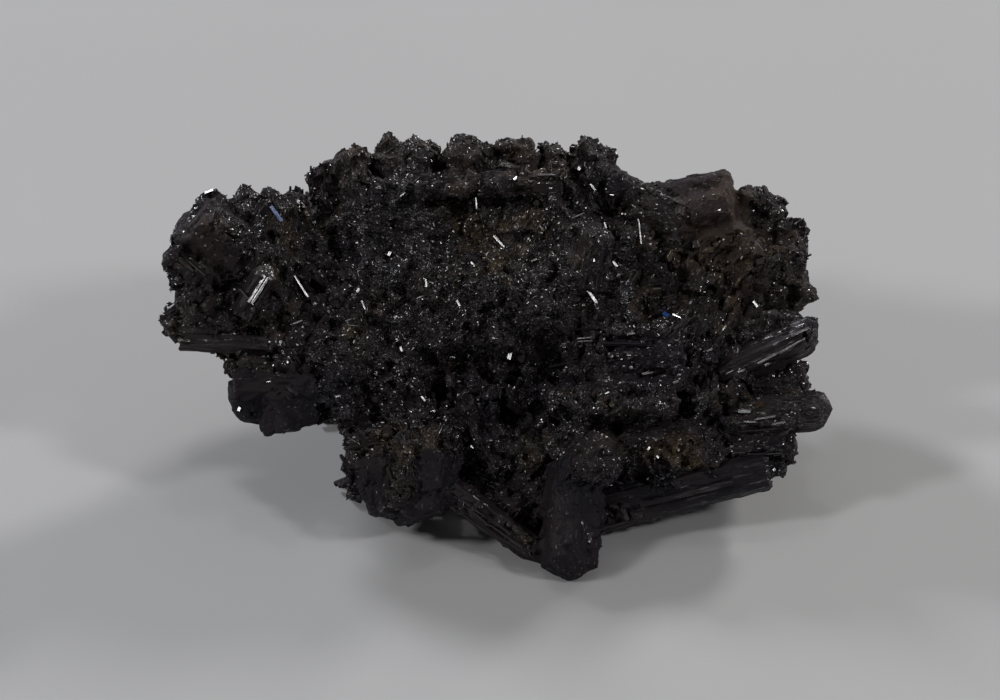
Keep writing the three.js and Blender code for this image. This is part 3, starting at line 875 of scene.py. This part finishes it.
# Across and up the front, in mm:
placedGlints = [
    (-4.4, -17.9, -0.6, -20.6, 0.24, 6), (-3.2, -18.4, 1.2, -21.8, 0.2, 8),
    (-1.6, -20.4, 2.6, -23.4, 0.22, 9), (-3.6, -18.9, -1.2, -20.9, 0.16, 4.5),
    (30.6, -1.7, 33.4, -0.2, 0.3, 4.5), (33.2, -0.4, 36.4, 1.4, 0.26, 4.5), (31.5, -1.9, 33, -1.1, 0.3, 3),
    (34.6, 1.6, 36.8, 2.6, 0.24, 6), (30.5, -8.3, 32.8, -7.9, 0.3, 6), (29, -8.6, 31, -8.6, 0.26, 4.5),
    (32.4, -8.9, 34, -8.6, 0.22, 4.5), (28.8, -9.4, 30.6, -9.2, 0.24, 7),
    (17.6, -11.9, 17.9, -11.5, 0.2, 3), (18.6, -12.6, 18.9, -12.9, 0.2, 3),
    (19.4, -11.3, 19.8, -11.1, 0.18, 3), (21.2, -12.4, 21.5, -12.1, 0.2, 3),
    (22.8, -12, 23.1, -11.7, 0.18, 3), (19.8, -13.6, 20.1, -13.9, 0.18, 3),
    (20.9, -14.2, 21.2, -14, 0.2, 3),
]
glints = {
    # the two blue ones carry a painted blue reflection in their colour
    "blue": [(-27.3, 17.1, -26, 15.3, 0.4, 9), (19.3, 4.3, 20, 3.8, 0.7, 6)],
    "middle": (499, 350),  # the pixel at the front's centre
    "pixel": 0.119,  # mm of the front
    "thin": 0.26,  # mm, and thinner ones are thickened to show
    "thicken": 1.3,
    "turned": 0.55,  # degrees for each that a row says
    "lights": 1000,  # mm across, and wider lights raise no flash
    "bedded": 0.05,  # of the width, into the stone
    "bare": 0.2,  # mm round each, left without druse
    "halfFace": 50,  # degrees of the section that the flashing face takes up, each way
    "slant": (0, 0.3),
    "tone": 0.5,
    "seed": 61,
}
# A band of tiny ones, high on the left, strewn at random about a line. In mm, with the turn in radians.
strewn = {
    "start": (-23.9, 17.6), "run": (1.6, -2.8), "strayX": 0.5, "strayY": 0.3, "turn": 3.14,
    "length": (0.3, 0.6), "width": (0.18, 0.3), "off": (3, 4.5), "counts": (8, 4), "seed": 5,
}


def seenRow(x1, y1, x2, y2, width, off):
    (middleX, middleY), pixel = glints["middle"], glints["pixel"]
    ends = ((x1 - middleX) * pixel, (middleY - y1) * pixel, (x2 - middleX) * pixel, (middleY - y2) * pixel)
    return (*[round(end, 1) for end in ends], round(width * pixel, 2), off)


def strewnRow(dice):
    share = dice.random()
    x = strewn["start"][0] + strewn["run"][0] * share + dice.uniform(-strewn["strayX"], strewn["strayX"])
    y = strewn["start"][1] + strewn["run"][1] * share + dice.uniform(-strewn["strayY"], strewn["strayY"])
    turn, length = dice.uniform(0, strewn["turn"]), dice.uniform(*strewn["length"])
    ends = (x, y, x + length * math.cos(turn), y + length * math.sin(turn))
    width = round(dice.uniform(*strewn["width"]), 2)
    return (*[round(end, 1) for end in ends], width, dice.choice(strewn["off"]))


def glintRows():
    dice = Random(strewn["seed"])
    some, others = [[strewnRow(dice) for _ in range(count)] for count in strewn["counts"]]
    rows = glints["blue"] + [seenRow(*row) for row in seenGlints] + some + placedGlints + others
    for x1, y1, x2, y2, width, off in rows:
        shown = round(width * glints["thicken"], 2) if width < glints["thin"] else width
        yield x1, y1, x2, y2, shown, round(off * glints["turned"], 1)


def stoneBehind(across, up):
    # how far out of the front the stone stands there, as seen from straight ahead
    eye = Vector((0, 0, viewer["distance"] * mm))
    origin = front @ eye
    ray = (front.to_3x3() @ (Vector((across, up, 0)) * mm - eye)).normalized()
    hits = [tree.ray_cast(origin, ray)[0] for tree in (massTree, prismTree)]
    return max([(front.inverted() @ hit).z / mm for hit in hits if hit], default=None)


def glintCrystals():
    # ends and the facing face's direction of each, in the front's frame
    small = [light for light in lights.values() if light["size"] < glints["lights"]]
    lamps = [np.array(front.to_3x3().inverted() @ skyDirection(light)) * lightDistance for light in small]
    eye = np.array([0, 0, viewer["distance"]])
    starts, ends, faces, widths, turns = [], [], [], [], []
    for x1, y1, x2, y2, width, off in glintRows():
        length = math.hypot(x2 - x1, y2 - y1)
        along = np.array([(x2 - x1) / length, (y2 - y1) / length])
        middle = np.array([(x1 + x2) / 2, (y1 + y2) / 2, 0])
        # the direction halfway between lamp and eye is where the face looks, and the least lean is taken
        halfways = [unit(unit(lamp - middle) + unit(eye - middle)) for lamp in lamps]
        slopes = [-(along @ half[:2]) / half[2] for half in halfways]
        best = int(np.argmin(np.abs(slopes)))
        slope = slopes[best]
        levels = []
        for share in (0, 0.25, 0.5, 0.75, 1):
            level = stoneBehind(x1 + share * (x2 - x1), y1 + share * (y2 - y1))
            if level is not None:
                levels.append(level - slope * length * (share - 0.5))
        if len(levels) < 3:
            # it would hang off the edge
            continue
        # it rests on the highest stone but one, where that many places found any
        out = sorted(levels)[-1 if len(levels) < 4 else -2] + (0.5 - glints["bedded"]) * width
        nearer = 1 - out / viewer["distance"]
        starts.append([x1 * nearer, y1 * nearer, out - slope * length / 2])
        ends.append([x2 * nearer, y2 * nearer, out + slope * length / 2])
        faces.append(halfways[best])
        widths.append(width)
        turns.append(math.radians(off))
    return [np.array(values) for values in (starts, ends, faces, widths, turns)]


glintStarts, glintEnds, glintFaces, glintWidths, glintTurns = glintCrystals()
turnBack = np.array(front.to_3x3()).T
glintRoots, glintTips = [
    ends @ turnBack * mm + np.array(front.translation) for ends in (glintStarts, glintEnds)
]
glintFaces = glintFaces @ turnBack


def clearOfGlints(places, halfWidths):
    clear = np.full(len(places), True)
    for start, finish, width in zip(glintRoots, glintTips, glintWidths):
        axis = finish - start
        share = np.clip((places - start) @ axis / (axis @ axis), 0, 1)
        gap = np.linalg.norm(places - start - share[:, None] * axis, axis=1)
        clear &= gap > (width / 2 + glints["bare"]) * mm + halfWidths
    return clear


def glintPieces():
    rng = np.random.default_rng(glints["seed"])
    axes = unit(glintTips - glintRoots)
    side, up = acrossOf(axes)
    facing = np.arctan2(np.sum(glintFaces * up, axis=1), np.sum(glintFaces * side, axis=1))
    half = glints["halfFace"]
    angles = (facing + glintTurns)[:, None] + np.radians([-half, half, 180 - half, 180 + half])
    lengths = np.linalg.norm(glintTips - glintRoots, axis=1)
    widths = glintWidths * mm / math.sin(math.radians(half))
    count = len(lengths)
    slopes, tones = rng.uniform(*glints["slant"], count), glints["tone"] * rng.random(count)
    ends = [(0, 1), (1, 1)]
    blue = len(glints["blue"])
    for name, material, part in (
        ("fresh_crystals", freshStone, slice(blue, None)),
        ("painted_blue_glints", paintedBlueReflection, slice(blue)),
    ):
        shapes = [values[part] for values in (glintRoots, axes, widths, lengths, angles)]
        made = bulkPrisms(*shapes, ends, slopes[part])
        joinBulk(name, made, material, tones[part], np.ones(count)[part], rng)


glintPieces()


# Small crystals over the mass, sizes in mm. Share is how many of the places are taken, in coarse druse and
# in fine, out is how much of a crystal shows, and stands is how far off the mass its end may be.
druse = {
    "sprouts": {
        "gap": 1.8, "width": (0.4, 1.1), "length": (1.1, 3.2), "out": (0, 0.22), "share": (0.75, 0.5),
        "onTips": 0, "onPrisms": 0.2, "stands": 0.6, "stray": 1.2, "flat": 0.8, "shiny": 0.1, "seed": 41,
    },
    "grains": {
        "gap": 0.9, "width": (0.25, 0.8), "length": (0.4, 1.5), "out": (0.1, 0.45), "share": (0.9, 0.4),
        "onTips": 0.2, "onPrisms": 0.5, "stands": 0.4, "stray": 1.8, "flat": 0.7, "shiny": 0.3, "seed": 43,
    },
    "blades": {
        "gap": 0.46, "width": (0.08, 0.24), "length": (0.4, 1.5), "out": (0.03, 0.3), "share": (0.1, 0.75),
        "onTips": 0, "onPrisms": 0.8, "stands": 0.3, "stray": 1.1, "flat": 0.95, "shiny": 0.6, "seed": 45,
    },
    "specks": {
        "gap": 0.55, "width": (0.1, 0.26), "length": (0.15, 0.5), "out": (0.1, 0.5), "share": (0.15, 0.85),
        "onTips": 0.4, "onPrisms": 0.8, "stands": 0.27, "stray": 2.5, "flat": 0.5, "shiny": 0.6, "seed": 47,
    },
    "needles": {
        "gap": 1.8, "width": (0.09, 0.15), "length": (1, 2.8), "out": (0.4, 0.9), "share": (0, 0.9),
        "onTips": 0, "onPrisms": 0, "stands": 0.4, "stray": 0.8, "flat": 0.97, "shiny": 1.2, "seed": 53,
    },
}
growth = {
    "alongPrism": 0.15,  # how far the crystals on a big prism stray from its axis
    "bareTip": 0.75,  # of a prism's width, from the tip
    "endFace": 0.45,  # how far a surface must face along a prism to be its end
    "offTable": 0.3,  # mm
    "coarse": 1.25,  # scale where the druse is coarsest
    "finer": 0.4,  # less where it is finest
    "slanted": (0.2, 0.8),  # slope of the ends of half the crystals
    "square": (0, 0.1),  # and of the others
    "shiny": (0.1, 1.2),  # share of the shiny ones, and how much it grows with the fineness
    "dim": (0.1, 0.6),  # gloss of the others
    "dimmed": (0.3, 0.8),  # share of that kept, and how much it grows with the fineness
    "fineness": 0.4,  # where no zone says
}


def standsOff(ends):
    # how far the farther end of each crystal stands out of the mass
    heights = []
    for places in ends:
        found = [massTree.find_nearest(Vector(place)) for place in places]
        foots, ways = [np.array([hit[part] for hit in found]) for part in (0, 1)]
        heights.append(np.sum((places - foots) * ways, axis=1))
    return np.max(heights, axis=0)


def scatter(kind, rng):
    look = druse[kind]
    places, normals = spreadOver(massPoints, massTriangles, look["gap"] * mm, rng)
    patch, prism = patchAt(places, rng), prismAt(places)
    fine = finenessAt(places, patchFine[patch])
    low, high = look["share"]
    keep = rng.random(len(places)) < patchDensity[patch] * (low + (high - low) * fine)
    fromTip = np.linalg.norm(places - prismTips[prism], axis=1)
    nearTip = (ofHabit("bareTip", prism, 0) > 0) & (fromTip < growth["bareTip"] * prismWidths[prism])
    keep &= rng.random(len(places)) < np.where(prism < 0, 1, look["onPrisms"] * ofHabit("grown", prism, 1))
    keep &= ~nearTip | (rng.random(len(places)) < look["onTips"])
    keep &= places[:, 2] > growth["offTable"] * mm
    places, normals, patch, prism, fine = [values[keep] for values in (places, normals, patch, prism, fine)]
    count = len(places)
    strays = unit(rng.normal(size=(count, 3))) * patchStray[patch][:, None] * look["stray"]
    axes = unit(patchAxes[patch] + strays)
    axes = unit(axes - normals * look["flat"] * np.sum(axes * normals, axis=1, keepdims=True))
    lined = unit(prismAxes[prism] + growth["alongPrism"] * rng.normal(size=(count, 3)))
    onEnd = np.abs(np.sum(prismAxes[prism] * normals, axis=1)) > growth["endFace"]
    axes = np.where(((prism < 0) | onEnd)[:, None], axes, lined)
    axes *= np.where(np.sum(axes * normals, axis=1, keepdims=True) < 0, -1, 1)
    scale = patchScale[patch] * (growth["coarse"] - growth["finer"] * fine) * mm
    widths = np.exp(rng.uniform(*np.log(look["width"]), count)) * scale
    lengths = np.exp(rng.uniform(*np.log(look["length"]), count)) * scale
    along = np.abs(np.sum(axes * normals, axis=1))
    reach = (along * lengths + np.sqrt(np.maximum(1 - along**2, 0)) * widths) / 2
    middles = places + normals * (reach * (2 * rng.uniform(*look["out"], count) - 1))[:, None]
    roots = middles - axes * (lengths / 2)[:, None]
    keep = standsOff([roots, roots + axes * lengths[:, None]]) < look["stands"] * mm
    for share in (0, 0.33, 0.67, 1):
        keep &= clearOfGlints(roots + share * axes * lengths[:, None], widths / 2)
    return roots[keep], axes[keep], widths[keep], lengths[keep]


def scatterPiece(kind, corners, stations, material, halves=False, extra=None):
    rng = np.random.default_rng(druse[kind]["seed"])
    grown = scatter(kind, rng)
    if extra is not None:
        grown = [np.concatenate(pair) for pair in zip(grown, extra(rng))]
    roots, axes, widths, lengths = grown
    count = len(roots)
    angles = hexagon(count, rng) if corners == 6 else evenSection(count, corners, rng)
    isSlanted = rng.random(count) < 0.5
    slanted, square = [rng.uniform(*growth[key], count) for key in ("slanted", "square")]
    slopes = np.where(isSlanted, slanted, square)
    tones = rng.random(count) + tintAt(roots)
    fine = finenessAt(roots, growth["fineness"])
    (least, more), (leastDim, moreDim) = growth["shiny"], growth["dimmed"]
    isShiny = rng.random(count) < druse[kind]["shiny"] * (least + more * fine)
    gloss = np.where(isShiny, 1, rng.uniform(*growth["dim"], count) * (leastDim + moreDim * fine))
    parts = {"_front": roots[:, 1] < 0, "_back": roots[:, 1] >= 0} if halves else {"": roots[:, 1] < 1}
    for part, picked in parts.items():
        shapes = [values[picked] for values in (roots, axes, widths, lengths, angles)]
        made = bulkPrisms(*shapes, stations, slopes[picked])
        joinBulk(kind + part, made, material, tones[picked], gloss[picked], rng)


scatterPiece("sprouts", 6, [(0, 0.9), (0.88, 1), (1, 0.72)], prismStone, extra=ribsAlongPrisms)
scatterPiece("grains", 5, [(0, 0.9), (1, 1)], druseStone, halves=True)
scatterPiece("blades", 3, [(0, 1), (1, 0.9)], druseStone, halves=True)
scatterPiece("specks", 3, [(0, 1), (1, 1)], druseStone, halves=True)
scatterPiece("needles", 4, [(0, 1), (1, 0.8)], druseStone)


# Stage: a pale grey sweep of matt card, lights and camera.
sweep = {
    "colour": "#BCBCBD",
    "size": 4000,
    "cloud": 60,  # mm across
    "clouding": (0.97, 1.03),
    "grain": 0.5,
    "grainDepth": 0.02,
    "roughness": 0.75,
}


def sweepMaterial():
    # matt printed card: an even pale grey with faint clouds
    material, tree = newMaterial("matt grey card")
    place = addNode(tree, "TexCoord", {}).outputs["Object"]
    clouds = addNode(tree, "TexNoise", {"Vector": place, "Scale": 1 / (sweep["cloud"] * mm), "Detail": 4.0})
    ramp = addNode(tree, "ValToRGB", {"Fac": clouds.outputs["Fac"]})
    colour = linear(sweep["colour"])[:3]
    for stop, share in zip(ramp.color_ramp.elements, sweep["clouding"]):
        stop.color = [share * channel for channel in colour] + [1]
    grain = addNode(tree, "TexNoise", {"Vector": place, "Scale": 1 / (sweep["grain"] * mm), "Detail": 2.0})
    depth = sweep["grainDepth"] * mm
    bump = addNode(tree, "Bump", {"Height": grain.outputs["Fac"], "Distance": depth, "Strength": 0.5})
    finish = {"Base Color": ramp.outputs["Color"], "Roughness": sweep["roughness"]}
    shader = addNode(tree, "BsdfPrincipled", {**finish, "Normal": bump.outputs["Normal"]})
    addNode(tree, "OutputMaterial", {"Surface": shader.outputs["BSDF"]})
    return material


def makeStage():
    half = sweep["size"] * mm / 2
    mesh = bpy.data.meshes.new("card")
    corners = [(-half, -half, 0), (half, -half, 0), (half, half, 0), (-half, half, 0)]
    mesh.from_pydata(corners, [], [[0, 1, 2, 3]])
    mesh.materials.append(sweepMaterial())
    card = bpy.data.objects.new("card", mesh)
    addToScene(card)
    for name, light in lights.items():
        lamp = bpy.data.lights.new(name, "AREA")
        lamp.shape = "DISK"
        lamp.size = light["size"] * mm
        lamp.energy = light["watts"]
        lamp.color = linear(light["colour"])[:3]
        holder = bpy.data.objects.new(name, lamp)
        direction = skyDirection(light)
        holder.location = front.translation + direction * lightDistance * mm
        holder.rotation_euler = direction.to_track_quat("Z", "Y").to_euler()
        addToScene(holder)
    world = bpy.data.worlds.new("dim room")
    world.use_nodes = True
    background = world.node_tree.nodes["Background"]
    background.inputs["Color"].default_value = (1, 1, 1, 1)
    background.inputs["Strength"].default_value = roomGlow
    bpy.context.scene.world = world


def makeCamera():
    camera = bpy.data.cameras.new("camera")
    camera.lens = viewer["lens"]
    camera.sensor_width = viewer["sensor"]
    camera.clip_start = 0.01
    holder = bpy.data.objects.new("camera", camera)
    holder.matrix_world = front @ Matrix.Translation((0, 0, viewer["distance"] * mm))
    addToScene(holder)
    bpy.context.scene.camera = holder


makeStage()
makeCamera()
bpy.context.scene.view_settings.view_transform = "Standard"
print("stage set")
